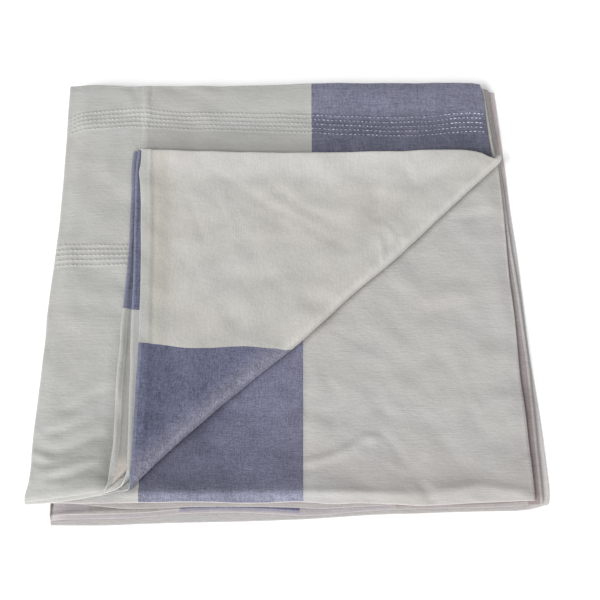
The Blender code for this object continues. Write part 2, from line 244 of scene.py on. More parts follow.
# Creases: height, half width, then points; hollows are negative
CREASES = (
    # Turned corner
    (-0.6, 4, (-88, 138), (-53, 111), (-23, 89), (7, 72), (43, 47), (69, 30)),
    (-0.9, 6, (-24, 119), (10, 90), (43, 70), (62, 59)),
    (-0.4, 3, (-35, 77), (10, 56)),
    (-0.5, 10, (-60, -42), (-45, -72)),
    (0.6, 1.9, (-77, 107), (-64, 70), (-58, 45)),
    (0.5, 1.9, (-95, 102), (-78, 79)),
    (-0.6, 3, (-116, 106), (-103, 71), (-90, 39)),
    (0.8, 3, (90, 68), (106, 61), (119, 42)),
    (0.8, 3, (93, 50), (103, 37), (101, 16)),
    (0.8, 10, (75, 103), (73, 18)),
    (-1.1, 10, (100, 110), (99, 64)),
    (0.35, 4, (32, 23), (61, -10)),
    (-0.6, 6, (-25, 6), (1, -23)),
    (-0.6, 6, (10, -13), (25, -42)),
    (-1.0, 13, (-129, 150), (-121, -60)),
    (0.4, 6, (161, 143), (169, 97)),
    (-0.6, 6, (198, 143), (187, 102)),
    (-0.4, 6, (132, 143), (139, 110)),
    (-0.5, 8, (-76, -23), (-51, -70)),
    (-0.5, 6, (-133, -110), (-123, -188)),
    (0.5, 7, (-86, -108), (-100, -152)),
    # Lower layer and the cloth in front of the fold
    (-0.4, 1.8, (40, -50), (65, -66), (89, -81), (107, -92)),
    (0.9, 4, (178, 87), (210, 93), (240, 97)),
    (-0.7, 5, (178, 80), (210, 84), (239, 87)),
    (-0.3, 5, (21, -80), (38, -105), (54, -136)),
    (-0.6, 9, (87, -136), (106, -158)),
    (0.4, 9, (66, -118), (86, -149)),
    (-0.6, 3.5, (96, -171), (104, -180), (111, -192), (116, -206)),
    (0.7, 9, (69, -195), (93, -186)),
    (0.35, 2.5, (176, -96), (189, -124), (198, -152)),
    (-0.5, 7, (156, -80), (163, -96)),
    (0.4, 2.5, (42, -107), (56, -125)),
    (0.3, 9, (173, -86), (194, -125), (208, -171)),
    (-0.6, 3, (227, -203), (246, -190)),
    (1.7, 4.5, (12, -205), (46, -196), (63, -188), (79, -177), (96, -177)),
    (1.3, 4.5, (-178, -235), (-142, -234), (-37, -233), (52, -233), (135, -235)),
    (1.3, 5.5, (145, -234), (163, -230), (193, -226), (223, -231), (246, -235)),
    (1.4, 13, (-178, -234), (-142, -232), (-37, -232), (52, -232), (135, -234), (246, -235)),
    (-1.0, 3.5, (132, -224), (138, -233), (141, -244)),
    (-0.6, 9, (-50, -136), (-26, -179), (12, -200)),
    (0.5, 14, (-50, -210), (-27, -168), (-33, -131)),
    (0.5, 9, (116, 9), (142, -22), (197, -9)),
    (-0.5, 7, (127, -9), (152, -36), (207, -22)),
    # Left and back of the upper layer
    (-0.7, 4, (-250, 175), (-223, 157)),
    (-1.5, 5, (-253, -188), (-243, -192), (-233, -194), (-217, -189), (-201, -181), (-183, -175)),
    (0.9, 2.4, (-259, -194), (-247, -198), (-236, -203)),
    (-1.1, 3, (-257, -200), (-244, -207), (-232, -208)),
    (1.2, 4.5, (-246, -216), (-226, -212), (-212, -207), (-199, -203), (-189, -201)),
    (-1.4, 3.5, (-242, -223), (-218, -218), (-202, -211), (-189, -206)),
    (-1.1, 3.5, (-247, -176), (-229, -172), (-214, -165), (-201, -158)),
    (-1.1, 4, (-235, -154), (-216, -145), (-202, -135), (-190, -125)),
    (0.7, 2, (-257, -170), (-252, -173), (-248, -177)),
    (-0.8, 5, (-152, 256), (-119, 250), (-88, 237)),
    (-0.5, 5, (-194, 262), (-177, 240)),
    (-0.5, 5, (-165, 256), (-159, 230)),
    (0.8, 7, (189, 247), (220, 216)),
    (-0.9, 9, (190, 198), (224, 173)),
    (0.5, 12, (-47, 246), (12, 233)),
    (0.7, 14, (60, 243), (119, 240), (179, 242)),
    (-0.4, 8, (-255, 81), (-224, 94), (-183, 85)),
    (0.4, 10, (-243, -54), (-213, -37), (-182, -51)),
    (1.0, 12, (-224, -26), (-198, -22), (-182, -8)),
    (-0.7, 8, (-228, -224), (-204, -222), (-186, -208)),
    (0.7, 12, (-212, 168), (-208, 128)),
)
CREASE_GAIN = 1.15
CREASE_REACH = 3.0
CREASE_ENDS = 6
RELIEF_LEVEL = 10.0

# Broad rises and hollows of the whole pack
SWELLS = (
    (2.4, 24, (-175, 164), (-120, 165), (60, 165), (245, 162)),
    (-2.0, 15, (-186, -120), (-182, -175), (-182, -222)),
    (-1.6, 5, (-170, 145), (-169, 0), (-167, -100), (-168, -212)),
    (-1.6, 14, (170, 180), (205, 170), (240, 160)),
    (-0.5, 2, (-144.7, -219.3), (-117.5, -190), (-44.1, -122), (12.8, -72.9), (65.9, -20), (115.6, 24.9),
     (167, 76.8), (240.8, 150.1)),
)

# Waves of washed cotton: their lengths, height, directions and bends
WAVES = 26
WAVE_FIRST = 7.0
WAVE_STEP = 2.2
WAVE_SIZE = 0.0026
WAVE_TURN = 2.4
WAVE_START = 0.3
WAVE_PHASE = 1.7
WAVE_BEND = 6.0
BEND_ACROSS = 37.0
BEND_AWAY = 43.0

# Stitched bands: plain level and row gap, middle row as (x, y), row gap as (x, gap), ends, relief
Band = namedtuple("Band", "level pitch middle gap first last rise sink")
BACK_BAND = Band(
    206.0, 6.2,
    (
        (-262, 199), (-258, 202), (-250, 205.5), (-240, 207.4), (-208, 210.6), (-177, 212.7),
        (-155, 210.4), (-134, 208.4), (-60, 206.5), (27, 203.6), (136, 199.9), (165, 201.6), (196, 205.8),
        (212, 206.4), (228, 205.4),
    ),
    ((-257, 5.8), (-177, 6.2), (-134, 5.8), (27, 6.4), (136, 6.5), (228, 6.3)),
    -259.0, 231.0, 0.36, 0.1,
)
LEFT_BAND = Band(
    29.8, 6.15,
    ((-262, 29.2), (-215, 29.8), (-177, 29.8)),
    ((-262, 6.15), (-177, 6.15)),
    -258.0, -174.0, 0.36, 0.1,
)
BANDS = (BACK_BAND, LEFT_BAND)
BAND_ROWS = 5
BAND_REACH = 3.4
BAND_FADE = 4.0
QUILT_BEFORE = 4.0
QUILT_AFTER = 8.0
QUILT_SLOPE = (2.9, -0.5)

# Running stitches: usual sizes and shares of them, then the lift and the size of each ring
STITCH_SEED = 11
RING_SIDES = 6
STITCH_PITCH = 5.0
STITCH_PITCHES = (0.93, 1.07)
STITCH_LENGTH = 3.6
STITCH_LENGTHS = (0.55, 1.2)
STITCH_WIDTH = 0.6
STITCH_WIDTHS = (0.75, 1.25)
STITCH_FLAT = 0.8
STITCH_SWAY = 0.35
RING_LIFTS = (-0.35, 0.15, 0.26, 0.15, -0.35)
RING_SIZES = (0.5, 0.9, 1.0, 0.9, 0.5)
RINGS = len(RING_LIFTS)
STITCH_LOW = 14.0
STITCH_HIGH = 21.3
LOOK_FROM = 60.0

# Threads by their place in THREADS: on the pale patch, on the blue one and at its right end
THREAD_PALE = 0
THREADS_BLUE = (1, 1, 1, 1, 2, 2)
THREADS_END = (2, 3, 3)
RIGHT_END = 185.0

# Felled seam of the pale strip, as (y, x) of its middle
STRIP_FELL = ((165, -165), (253, -170.8), (262, -171.2))
FELL_FROM = -178.0
FELL_TO = -157.0
FELL_FRONT = 100.0
FELL_WIDTH = 9.2
FELL_RISE = 0.9
FELL_SLOPE = (FELL_WIDTH / 2.0 + 0.8, -1.6)
LINE_DEPTH = 0.5
FELL_LINE = (FELL_WIDTH / 2.0 - 1.3, 0.8)

# Seams of the blue patch, and the rise to their right
PATCH_SEAMS = ((PATCH_LEFT, 0.5), (PATCH_RIGHT, -0.5))
SEAM_LEVELS = 0.6
PATCH_SLOPE = (-1.2, 2.4)
PATCH_FADE = (6.0, 5.0)

# Hem of the turned corner, as (y, x) of its inner edge where it lies
HEM_LINE = ((-214, -143), (-141, -142), (-28, -147), (60, -151), (159.5, -158))
HEM_LEVELS = 0.8
HEM_RISE = 0.7
HEM_SLOPE = (-2.6, 4.6)
GROOVE_DEPTH = 0.35
GROOVE = (1.8, 1.8)
HEM_TO = 8.0

# Hems of the two strips beside it: ply, rise, and depth of the hollow behind the hem
STRIP_HEMS = ((0, 1.1, 0.5), (1, 1.0, 0.0))
STRIP_LEVELS = 0.4
STRIP_HEM = (2.3, 2.4)
STRIP_HOLLOW = (8.5, 2.6)
STRIP_LEFT = -150.0
STRIP_SLOPE = (-168.0, 14.0)

# Cloths by their place in CLOTHS
(PALE, CREAM, BLUE, INNER, BLUE_BACK, LINING, INNER_PAINTED_SHADE, LINING_GREY, LINING_BLUE, PALE_LOWER, BLUE_PATCH,
 LINING_MAUVE, HEM_PAINTED_SHADE, BLUE_HEM, INNER_RIGHT, FOLD_RIM_PAINTED_LIGHT, STRIP_PALE_SHADED) = range(17)

# A patch covers those before it, from left to right and from near to far behind the front edge
ANY = math.inf
Patch = namedtuple("Patch", "cloth left right near far", defaults=(-ANY, ANY, -ANY, ANY))
# Fold rims are painted lighter than the cloth beside them: painted light
RIGHT_RIM = Patch(FOLD_RIM_PAINTED_LIGHT, left=239)
RIMS = (Patch(FOLD_RIM_PAINTED_LIGHT, right=-239), RIGHT_RIM)

# Patches of each ply: the side that is up on the top ply, then the other side
SIDES = (
    (
        (Patch(BLUE_BACK), Patch(PALE, right=STRIP_TOP.x)),
        # The strip it turns up: the hem, then painted shade where the next strip overhangs it
        (Patch(BLUE), Patch(BLUE_HEM, far=5), Patch(HEM_PAINTED_SHADE, right=STRIP_TOP.x),
         Patch(PALE, right=STRIP_TOP.x, far=7)),
    ),
    (
        (Patch(BLUE), Patch(BLUE_HEM, far=2.4), Patch(LINING, left=225, near=380),
         Patch(STRIP_PALE_SHADED, right=STRIP_LOW.x)),
        # The cream on its right fold rim is a painted highlight
        (Patch(INNER), Patch(CREAM, far=30), Patch(CREAM, left=239)),
    ),
    (
        (Patch(PALE), Patch(INNER, left=225, near=380)),
        (Patch(CREAM), Patch(PALE, far=8), Patch(BLUE, right=FLAP_SEAM.x),
         Patch(BLUE_HEM, right=FLAP_SEAM.x, far=3.4)),
    ),
    (
        (Patch(INNER),),
        (Patch(PALE_LOWER), Patch(BLUE_PATCH, left=PATCH_LEFT.x, right=PATCH_RIGHT.x),
         Patch(LINING_GREY, left=215, near=388), Patch(LINING, far=0.75), RIGHT_RIM),
    ),
    (
        (Patch(INNER),) + RIMS,
        # Its top: lining at the front edge, then painted shade under the ply above; fold rims painted light
        (Patch(INNER_PAINTED_SHADE), Patch(LINING_MAUVE, far=4.2), Patch(LINING, far=2.4),
         Patch(INNER_RIGHT, left=112)) + RIMS,
    ),
    (
        (Patch(INNER),) + RIMS,
        # Its top: lining in front; at the left a thin cream line along the raised rim as painted highlight
        # and painted shade in the hollow behind it; painted shade at the right
        (Patch(LINING_MAUVE), Patch(LINING_BLUE, left=-112, right=12, near=2.4),
         Patch(BLUE, left=-112, right=12, near=5), Patch(INNER, left=112),
         Patch(INNER_PAINTED_SHADE, left=112, near=3.4), Patch(CREAM, right=-112, near=4.2),
         Patch(INNER, right=-112, near=5), Patch(LINING_MAUVE, right=-205, near=5),
         Patch(INNER_RIGHT, left=225)) + RIMS,
    ),
    ((Patch(INNER), RIGHT_RIM), (Patch(INNER), RIGHT_RIM)),
    ((Patch(LINING_GREY),), (Patch(LINING_GREY),)),
)

# Light: even share, then lamps with share, height, direction and spread in degrees
AMBIENT = 0.48
LAMPS = (("key", 0.47, 38.0, -138.0, 26.0), ("low", 0.2, 15.0, -100.0, 26.0))


def curve_of(table, at):
    """Reads a table along a smooth curve through its entries."""
    keys, values = np.array(table, float).T
    at = np.clip(np.asarray(at, float), keys[0], keys[-1])
    slopes = np.diff(values) / np.diff(keys)
    slopes = np.concatenate((slopes[:1], (slopes[1:] + slopes[:-1]) / 2.0, slopes[-1:]))
    place = np.clip(np.searchsorted(keys, at, side="right") - 1, 0, len(keys) - 2)
    gap = keys[place + 1] - keys[place]
    t = (at - keys[place]) / gap
    return ((2 * t ** 3 - 3 * t ** 2 + 1) * values[place] + (t ** 3 - 2 * t ** 2 + t) * gap * slopes[place]
            + (3 * t ** 2 - 2 * t ** 3) * values[place + 1] + (t ** 3 - t ** 2) * gap * slopes[place + 1])


def ease(value, start, length):
    """Rises from 0 to 1 over a length, which can be negative, with level ends."""
    share = np.clip((value - start) / length, 0.0, 1.0)
    return share * share * (3.0 - 2.0 * share)


def hump(value, place, half):
    """Bell curve of height 1 and a half width around a place."""
    return np.exp(-((value - place) / half) ** 2)


def spread(start, stop, step):
    """Even places from start to stop, about a step apart."""
    count = max(1, round(abs(stop - start) / step))
    return list(np.linspace(start, stop, count + 1))


def merged(places, least=0.05):
    """Sorted places without near repeats."""
    kept = []
    for place in sorted(places):
        if not kept or place - kept[-1] > least:
            kept.append(place)
    return kept


def grid_rows(bands, step):
    """Rows of the plain grid, closer at its ends and at stitched bands."""
    rows = [GRID_FRONT + r for r in FRONT_ROWS] + [GRID_BACK - r for r in BACK_ROWS]
    even = spread(EVEN_FROM, FRONT_PART, FRONT_SHARE * step) + spread(FRONT_PART, BACK_PART, step)
    even += spread(BACK_PART, EVEN_TO, BACK_SHARE * step)
    for band in bands:
        low, high = band.level - BAND_REACH * band.pitch, band.level + BAND_REACH * band.pitch
        even = [y for y in even if y < low - BAND_CLEAR or y > high + BAND_CLEAR]
        rows += spread(low, high, band.pitch / BAND_STEPS)
    return merged(rows + even)


def grid_columns(index):
    """Places across one ply, closer at its seams and where it shows."""
    left, right = GRID_LEFT + COLUMN_MARGIN, GRID_RIGHT - COLUMN_MARGIN
    step = COLUMN_STEPS[index]
    if index == 0:
        places = spread(left, FELL_FROM, LEFT_STEP) + spread(FELL_FROM, FELL_TO, FELL_STEP)
        places += spread(FELL_TO, right, step)
    else:
        places = spread(left, right, step)
    for seam in SEAMS:
        if seam.ply == index:
            places = [p for p in places if abs(p - seam.x) > SEAM_CLEAR]
            places += [seam.x - SEAM_SIDE, seam.x, seam.x + SEAM_SIDE]
    places += [GRID_LEFT, GRID_RIGHT]
    if index in (0, len(PLIES) - 1):
        places += [GRID_RIGHT - r for r in RIM]
    return merged(places)


def along_band(band, x, y):
    """Shift that makes the grid rows follow the rows of a stitched band."""
    row = (y - band.level) / band.pitch
    near = 1.0 - ease(np.abs(row), BAND_REACH, BAND_FADE)
    return near * (curve_of(band.middle, x) - band.level + row * (curve_of(band.gap, x) - band.pitch))


def curl(own, x, y):
    """Fall of the ply that stands open at its left end."""
    own = own + CURL_DROP * ease(y, *CURL_SLOPE)
    rim = y - curve_of(CURL_RIM, x)
    hollow = HOLLOW_DEPTH * ease(y, *HOLLOW_SLOPE) * ease(rim, *HOLLOW_RIM)
    return own + (1.0 - ease(x, *CURL_CLOSE)) * (hollow - CURL_LIFT * hump(rim, 0.0, CURL_RIM_HALF))


def droop(raw, flat):
    """Fall of the plies towards their front edges, where they aren't turned over."""
    x, y, level = flat.T
    fall = np.zeros(len(flat))
    for index, ply in enumerate(PLIES):
        share = np.clip(1.0 - np.abs(level - ply.level) / PLY_GAP, 0.0, 1.0)
        ahead = np.clip(1.0 - (y - curve_of(ply.front, x)) / FRONT_WIDTH[index], 0.0, 1.0)
        own = FRONT_FALL[index] * ahead ** 2
        fall += share * (curl(own, x, y) if index == CURL_PLY else own)
    return fall * (1.0 - ease(raw[:, 2] - level, *DROOP_SLOPE))


def ply_points(index, folded_right, xs, ys):
    """Points of one flat ply, with its edges drawn in."""
    ply = PLIES[index]
    x, y = np.meshgrid(xs, ys)
    left = curve_of(ply.left, y) + FOLD_REACH - GRID_LEFT
    right = curve_of(ply.right, y) - (FOLD_REACH if folded_right else 0.0) - GRID_RIGHT
    px = x + left * (1.0 - ease(x, GRID_LEFT, EDGE_REACH)) + right * (1.0 - ease(x, GRID_RIGHT, -EDGE_REACH))
    for seam in SEAMS:
        if seam.ply == index and seam.waver:
            px = px + curve_of(seam.waver, y) * hump(x, seam.x, WAVER_REACH)
    front = curve_of(ply.front, px) - GRID_FRONT
    back = curve_of(ply.back, px) - GRID_BACK
    py = y + front * (1.0 - ease(y, GRID_FRONT, EDGE_REACH)) + back * (1.0 - ease(y, GRID_BACK, -EDGE_REACH))
    if index == 0:
        for band in BANDS:
            py = py + along_band(band, px, y)
    return np.stack((px, py, np.full(px.shape, ply.level)), axis=-1)


def side_fold(before, start, outward):
    """Columns of a round side fold between two plies."""
    arc = []
    for step in range(1, FOLD_STEPS):
        angle = math.pi * step / FOLD_STEPS
        blend = (1.0 - math.cos(angle)) / 2.0
        column = before * (1.0 - blend) + start * blend
        column[:, 0] += outward * FOLD_BULGE * math.sin(angle)
        arc.append(column)
    return np.stack(arc, axis=1)


def colour_side(patches, x, ahead):
    """Cloths of one side of a ply at many places of its plain grid."""
    cloths = np.zeros(x.shape, int)
    for patch in patches:
        inside = (patch.left < x) & (x < patch.right) & (patch.near < ahead) & (ahead < patch.far)
        cloths[inside] = patch.cloth
    return cloths


def lay_out(plies, ys):
    """Points of some folded plies, and the cloths on both sides of the faces."""
    blocks = []
    strips = []
    across = []
    for index in plies:
        to_left = index % 2 == 0
        xs = np.array(grid_columns(index))
        points = ply_points(index, 0 < index < len(PLIES) - 1, xs, ys)
        if to_left:
            points = points[:, ::-1]
        if blocks:
            blocks.append(side_fold(blocks[-1][:, -1], points[:, 0], 1.0 if to_left else -1.0))
            strips += [index - 1] * (FOLD_STEPS // 2) + [index] * (FOLD_STEPS // 2)
            across += [GRID_RIGHT if to_left else GRID_LEFT] * FOLD_STEPS
        strips += [index] * (len(xs) - 1)
        middles = (xs[1:] + xs[:-1]) / 2.0
        across += list(middles[::-1] if to_left else middles)
        blocks.append(points)
    points = np.concatenate(blocks, axis=1)
    strips, across = np.array(strips), np.array(across)
    ahead = (ys[1:] + ys[:-1]) / 2.0 - GRID_FRONT
    sides = np.zeros((2, len(ahead), len(strips)), int)
    for index in plies:
        on = strips == index
        for side, patches in zip(sides, SIDES[index]):
            side[:, on] = colour_side(patches, *np.meshgrid(across[on], ahead))
    return points, sides


def sheet_mesh(points, sides, rims):
    """Middle surface of the sheet, with both cloths and the distance from the rims."""
    rows, columns = points.shape[:2]
    data = bpy.data.meshes.new("sheet")
    corner = (np.arange(rows - 1)[:, None] * columns + np.arange(columns - 1)).ravel()
    faces = np.stack((corner, corner + columns, corner + columns + 1, corner + 1), axis=1)
    data.from_pydata(points.reshape(-1, 3).tolist(), [], faces.tolist())
    mesh = bmesh.new()
    mesh.from_mesh(data)
    bpy.data.meshes.remove(data)
    for name, side in zip(("one", "other"), sides):
        layer = mesh.faces.layers.int.new(name)
        for face, cloth in zip(mesh.faces, side.ravel().tolist()):
            face[layer] = cloth
    rim = mesh.verts.layers.float.new("rim")
    for vert, gap in zip(mesh.verts, rims.ravel().tolist()):
        vert[rim] = gap
    return mesh


def rim_distance(points, ys):
    """Distance of each grid point from the open edges."""
    ends = np.minimum(ys - ys[0], ys[-1] - ys)[:, None] + np.zeros(points.shape[1])
    for side, edge in ((slice(0, RIM_COLUMNS), 0), (slice(-RIM_COLUMNS, None), -1)):
        gap = np.linalg.norm(points[:, side, :2] - points[:, edge, :2][:, None], axis=2)
        ends[:, side] = np.minimum(ends[:, side], gap)
    return ends


def set_back(level, along):
    """How far the fold line of a ply lies behind that of the outermost ply."""
    depth = (level - OUTER_LEVEL) / (INNER_LEVEL - OUTER_LEVEL)
    return -depth * (SET_FRONT + (SET_BACK - SET_FRONT) * along / TURN_LENGTH)


def points_of(mesh):
    """Vertex places as an array."""
    return np.array([v.co[:] for v in mesh.verts])


def put_back(mesh, points):
    """Moves the vertices to an array of places."""
    for vert, point in zip(mesh.verts, points.tolist()):
        vert.co = point


def in_pack(along, across, level):
    """Places in the pack from distances along and across the diagonal."""
    spot = TURN_START + along[:, None] * TURN_ALONG + across[:, None] * TURN_ACROSS
    return np.stack((spot[:, 0], spot[:, 1], level), axis=1)


def turn_corner(mesh):
    """Rolls the upper layer's right front corner over the diagonal; returns the flat places."""
    flat = points_of(mesh)
    offset = flat[:, :2] - TURN_START
    across, along = offset @ TURN_ACROSS, offset @ TURN_ALONG
    put_back(mesh, np.stack((across - set_back(flat[:, 2], along), along, flat[:, 2]), axis=1))
    for step in range(TURN_STEPS + 1):
        geometry = list(mesh.verts) + list(mesh.edges) + list(mesh.faces)
        cut = (TURN_ARC * step / TURN_STEPS, 0.0, 0.0)
        bmesh.ops.bisect_plane(mesh, geom=geometry, dist=TURN_SNAP, plane_co=cut, plane_no=(1.0, 0.0, 0.0))
    past, along, level = points_of(mesh).T
    radius = TURN_AXIS - level
    angle = np.pi * np.clip(past / TURN_ARC, 0.0, 1.0)
    bend = radius * curve_of(TURN_FULL, along) * np.sin(angle)
    reach = set_back(level, along) + np.where(past < 0.0, past, bend - np.maximum(past - TURN_ARC, 0.0))
    height = TURN_AXIS - radius * np.sign(np.cos(angle)) * np.abs(np.cos(angle)) ** TURN_SQUARE
    put_back(mesh, in_pack(along, reach, height))
    return in_pack(along, past + set_back(level, along), level)


def crease_height(crease, x, y):
    """Height of one crease, fading out at its ends."""
    top, width, *points = crease
    points = np.array(points, float)
    reach = CREASE_REACH * width
    low, high = points.min(axis=0) - reach, points.max(axis=0) + reach
    near = (x > low[0]) & (x < high[0]) & (y > low[1]) & (y < high[1])
    x, y = x[near], y[near]
    lengths = np.linalg.norm(np.diff(points, axis=0), axis=1)
    best = np.full(x.shape, np.inf)
    share = np.zeros(x.shape)
    run = 0.0
    for start, stop, length in zip(points, points[1:], lengths):
        way = (stop - start) / length
        t = np.clip((x - start[0]) * way[0] + (y - start[1]) * way[1], 0.0, length)
        gap = np.hypot(x - start[0] - way[0] * t, y - start[1] - way[1] * t)
        nearer = gap < best
        best = np.where(nearer, gap, best)
        share = np.where(nearer, (run + t) / lengths.sum(), share)
        run += length
    height = np.zeros(near.shape)
    height[near] = top * hump(best, 0.0, width) * (1.0 - (2.0 * share - 1.0) ** CREASE_ENDS)
    return height


def unevenness(x, y):
    """Gentle waves and small puckers of washed cotton."""
    height = np.zeros(x.shape)
    for k in range(WAVES):
        wave = WAVE_FIRST + WAVE_STEP * k
        angle = WAVE_TURN * k + WAVE_START
        bent = WAVE_BEND * np.sin(x / BEND_ACROSS + k) + WAVE_BEND * np.sin(y / BEND_AWAY + 2.0 * k)
        run = x * math.cos(angle) + y * math.sin(angle) + bent
        height += WAVE_SIZE * wave * np.sin(2.0 * math.pi * run / wave + WAVE_PHASE * k * k)
    return height


def relief(x, y):
    """Height of the waves and creases."""
    height = unevenness(x, y)
    for crease in CREASES:
        height += CREASE_GAIN * crease_height(crease, x, y)
    for crease in SWELLS:
        height += crease_height(crease, x, y)
    return height


def settle(points):
    """Lets the turned corner down, rounds the roll, sags the overhang and adds the relief."""
    out = points.copy()
    x, y, z = points.T
    beyond = (points[:, :2] - TURN_START) @ TURN_ACROSS
    drop = FLAP_DROP * ease(beyond, *FLAP_SLOPE)
    out[:, 2] -= drop * (z > FLAP_LEVEL - LEVEL_SLACK)
    near_roll = ease(beyond, *ROLL_SLOPE)
    out[:, 2] -= np.clip(out[:, 2] - TURN_AXIS, 0.0, None) * ROLL_SHARE * near_roll
    out[:, 2] -= HANG_SAG * ease(x, *HANG_SLOPE) * (z > HANG_ABOVE)
    out[:, 2] += relief(x, y) * np.clip(out[:, 2] / RELIEF_LEVEL, 0.0, 1.0)
    return out


def shape_edges(out, x, y, level):
    """Draws the visible plies down a little towards their edges."""
    back = BACK_FALL * (1.0 - ease(curve_of(TOP.back, x) - y, 0.0, BACK_WIDTH))
    out[:, 2] -= back * (level > TOP.level - EDGE_LEVELS)
    right = RIGHT_FALL * (1.0 - ease(curve_of(LOWER_TOP.right, y) - x, 0.0, RIGHT_WIDTH))
    out[:, 2] -= right * (np.abs(level - LOWER_TOP.level) < EDGE_LEVELS)


def quilt(out, x, y, level):
    """Raises the stitched rows in the top ply."""
    on_top = level > TOP.level - LEVEL_SLACK
    for band in BANDS:
        row = (y - curve_of(band.middle, x)) / curve_of(band.gap, x)
        inside = (x > band.first - QUILT_BEFORE) & (x < band.last + QUILT_AFTER) & (np.abs(row) < BAND_REACH)
        ridge = np.cos(np.pi * (row - np.round(row))) ** 2
        whole = ease(np.abs(row), *QUILT_SLOPE)
        out[:, 2] += (band.rise * ridge * whole - band.sink * whole) * (on_top & inside)


def raise_hems(out, x, y, level):
    """Raises the front hems of the two strips and the hem of the turned corner."""
    turned = out[:, 2] > TURNED_ABOVE
    for index, rise, hollow in STRIP_HEMS:
        ahead = y - curve_of(PLIES[index].front, x)
        on = (np.abs(level - PLIES[index].level) < STRIP_LEVELS) & turned & (x > STRIP_LEFT)
        roll = rise * hump(ahead, *STRIP_HEM) - hollow * hump(ahead, *STRIP_HOLLOW)
        out[:, 2] += roll * ease(x, *STRIP_SLOPE) * on
    on_flap = (np.abs(level - PLIES[FLAP_SEAM.ply].level) < HEM_LEVELS) & (out[:, 2] > TURN_AXIS)
    aside = out[:, 0] - curve_of(HEM_LINE, out[:, 1])
    hem = HEM_RISE * (1.0 - ease(aside, *HEM_SLOPE)) - GROOVE_DEPTH * hump(aside, *GROOVE)
    out[:, 2] += hem * (on_flap & (aside < HEM_TO))


def raise_seams(out, x, y, level):
    """Raises the felled seam, and the cloth beside the seams of the blue patch."""
    on_top = level > TOP.level - LEVEL_SLACK
    aside = np.abs(x - curve_of(STRIP_FELL, y))
    fell = FELL_RISE * ease(aside, *FELL_SLOPE) - LINE_DEPTH * hump(aside, *FELL_LINE)
    out[:, 2] += fell * (on_top & (y > FELL_FRONT))
    on_lower = np.abs(level - LOWER_TOP.level) < SEAM_LEVELS
    for seam, rise in PATCH_SEAMS:
        aside = x - seam.x
        lift = rise * ease(aside, *PATCH_SLOPE) * (1.0 - ease(np.abs(aside), *PATCH_FADE))
        out[:, 2] += lift * on_lower


def half_thickness(mesh, rim):
    """Half the thickness at each vertex, down to nothing at the rim."""
    radius = CLOTH / 2.0
    layer = mesh.verts.layers.float["rim"]
    gap = np.clip([v[layer] for v in mesh.verts], 0.0, radius)
    half = np.sqrt(np.clip(radius ** 2 - (radius - gap) ** 2, 0.0, None))
    return np.where(rim, 0.0, np.maximum(half, LEAST_HALF))


def new_piece(name, places, faces, shades, materials):
    """Smooth object; each face has its own of the materials."""
    data = bpy.data.meshes.new(name)
    data.from_pydata(places, [], faces)
    data.polygons.foreach_set("material_index", np.array(shades, dtype=np.int32))
    data.polygons.foreach_set("use_smooth", np.ones(len(faces), dtype=bool))
    for material in materials:
        data.materials.append(material)
    data.update()
    piece = bpy.data.objects.new(name, data)
    scene.collection.objects.link(piece)
    return piece


def thicken(mesh, flat, name, materials):
    """Closed sheet with round rims, from its middle surface."""
    mesh.verts.index_update()
    mesh.normal_update()
    one = mesh.faces.layers.int["one"]
    other = mesh.faces.layers.int["other"]
    middle = points_of(mesh)
    rim = np.array([v.is_boundary for v in mesh.verts])
    push = np.array([v.normal[:] for v in mesh.verts]) * half_thickness(mesh, rim)[:, None]
    inner = np.flatnonzero(~rim)
    twin = np.arange(len(middle))
    twin[inner] = len(middle) + np.arange(len(inner))
    twin = twin.tolist()
    places = np.concatenate((middle + push, (middle - push)[inner])) * MM
    faces = []
    shades = []
    for face in mesh.faces:
        ring = [v.index for v in face.verts]
        faces += [ring, [twin[i] for i in reversed(ring)]]
        shades += [face[one], face[other]]
    piece = new_piece(name, places.tolist(), faces, shades, materials)
    cloth = np.concatenate((flat, flat[inner])) * MM
    layer = piece.data.attributes.new("cloth_place", "FLOAT_VECTOR", "POINT")
    layer.data.foreach_set("vector", cloth.astype(np.float32).ravel())
    return piece


def build_layer(name, plies, bands, step, turned, materials):
    """One layer of the pack from its plies."""
    ys = np.array(grid_rows(bands, step))
    points, sides = lay_out(plies, ys)
    mesh = sheet_mesh(points, sides, rim_distance(points, ys))
    flat = turn_corner(mesh) if turned else points_of(mesh)
    raw = points_of(mesh)
    out = settle(raw)
    out[:, 2] -= droop(raw, flat)
    for shape in (shape_edges, quilt, raise_hems, raise_seams):
        shape(out, *flat.T)
    put_back(mesh, out)
    bmesh.ops.triangulate(mesh, faces=[f for f in mesh.faces if len(f.verts) > 4])
    piece = thicken(mesh, flat, name, materials)
    mesh.free()
    return piece


